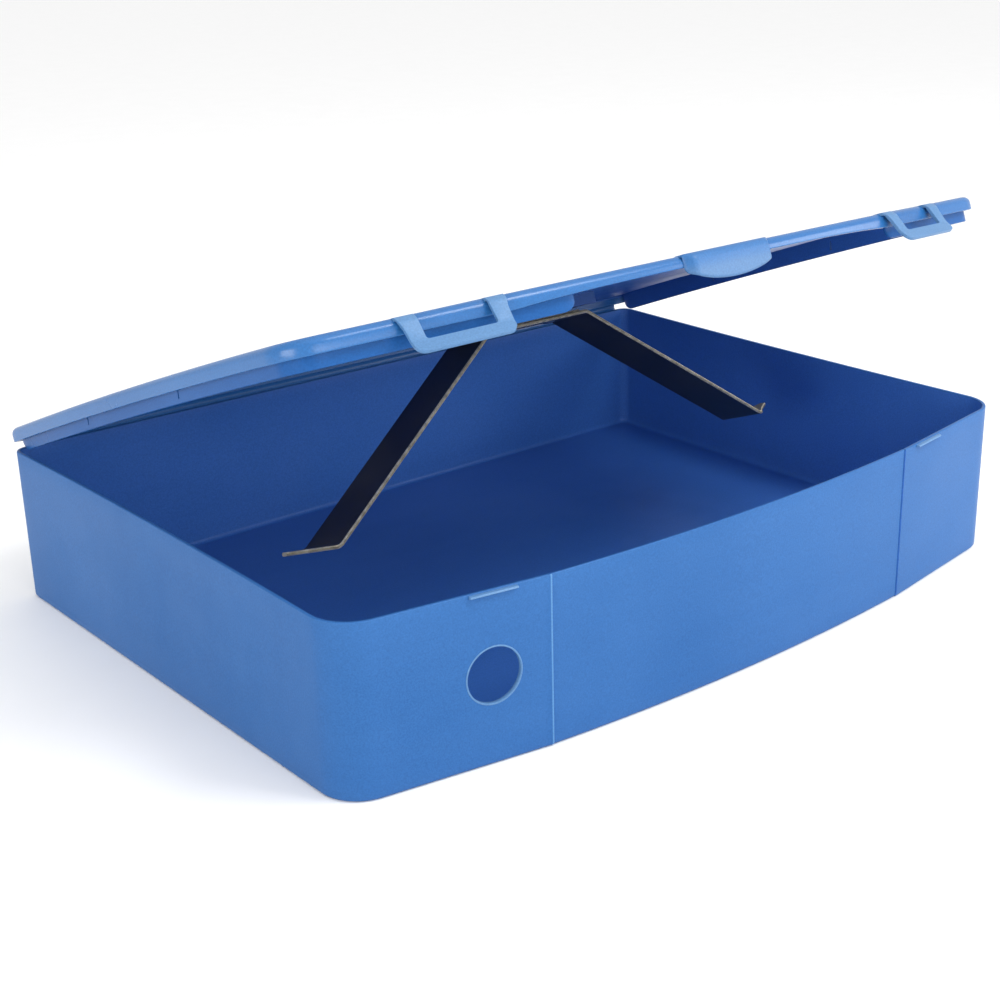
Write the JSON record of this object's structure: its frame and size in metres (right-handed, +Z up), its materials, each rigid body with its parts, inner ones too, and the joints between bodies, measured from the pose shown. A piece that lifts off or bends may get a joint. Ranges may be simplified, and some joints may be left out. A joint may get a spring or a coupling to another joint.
{
  "type": "archival box file",
  "caption": "Shallow plastic box file with a bowed spine, finger hole, hinged lid with latch loops and thumb tab, and a sprung steel arch that holds the papers down",
  "frame": {"origin": "centre of the base footprint, on the surface the box stands on", "axes": "+X along the long side towards the end away from the finger hole, +Y from the bowed spine towards the lid hinge, +Z up"},
  "size_m": [0.36, 0.2663, 0.1661],
  "materials": {
    "tray_plastic": "moulded polypropylene, fine grain outside, satin",
    "spine_plastic": "moulded polypropylene, fine grain, satin",
    "lid_plastic": "moulded polypropylene, semi-gloss",
    "latch_plastic": "moulded polypropylene, semi-gloss",
    "spring_steel": "black stoved spring steel strip with worn edges",
    "rivet_steel": "plain steel rivet heads"
  },
  "bodies": {
    "tray": {"floor_panel": "tray_plastic", "back_wall": "tray_plastic", "left_wrap_wall": "tray_plastic", "right_wrap_wall": "tray_plastic", "spine_panel": "spine_plastic", "left_catch": "tray_plastic", "right_catch": "tray_plastic"},
    "lid": {"hinge_web": "lid_plastic", "lid_panel": "lid_plastic", "lid_lip": "lid_plastic", "lid_skirt_left": "lid_plastic", "lid_skirt_right": "lid_plastic", "thumb_tab": "lid_plastic", "spring_seat": "lid_plastic", "spring_mount_plate": "spring_steel", "spring_stiffener": "spring_steel", "spring_bar": "spring_steel", "spring_rivets": "rivet_steel"},
    "left_latch": {"left_latch_loop": "latch_plastic"},
    "right_latch": {"right_latch_loop": "latch_plastic"},
    "left_leg": {"spring_left_leg": "spring_steel"},
    "right_leg": {"spring_right_leg": "spring_steel"}
  },
  "joints": [
    {"name": "lid_hinge", "type": "hinge", "parent": "tray", "child": "lid", "pos_m": [0, 0.132, 0.0675], "axis": [-1, 0, 0], "range_deg": [-20, 160]},
    {"name": "left_latch_flex", "type": "hinge", "parent": "lid", "child": "left_latch", "pos_m": [-0.12176, -0.10661, 0.16243], "axis": [-0.9872, 0.1501, -0.0546], "range_deg": [-32, 52], "stiffness_Nm_per_rad": 0.01},
    {"name": "right_latch_flex", "type": "hinge", "parent": "lid", "child": "right_latch", "pos_m": [0.11653, -0.10741, 0.16272], "axis": [-0.9872, -0.1501, 0.0546], "range_deg": [-32, 52], "stiffness_Nm_per_rad": 0.01},
    {"name": "left_leg_flex", "type": "hinge", "parent": "lid", "child": "left_leg", "pos_m": [-0.03639, -0.00685, 0.11724], "axis": [-0.0872, 0.9361, -0.3407], "range_deg": [0, 28], "stiffness_Nm_per_rad": 1.5},
    {"name": "right_leg_flex", "type": "hinge", "parent": "lid", "child": "right_leg", "pos_m": [0.02039, -0.00218, 0.11554], "axis": [0.0872, -0.9361, 0.3407], "range_deg": [0, 28], "stiffness_Nm_per_rad": 1.5}
  ]
}
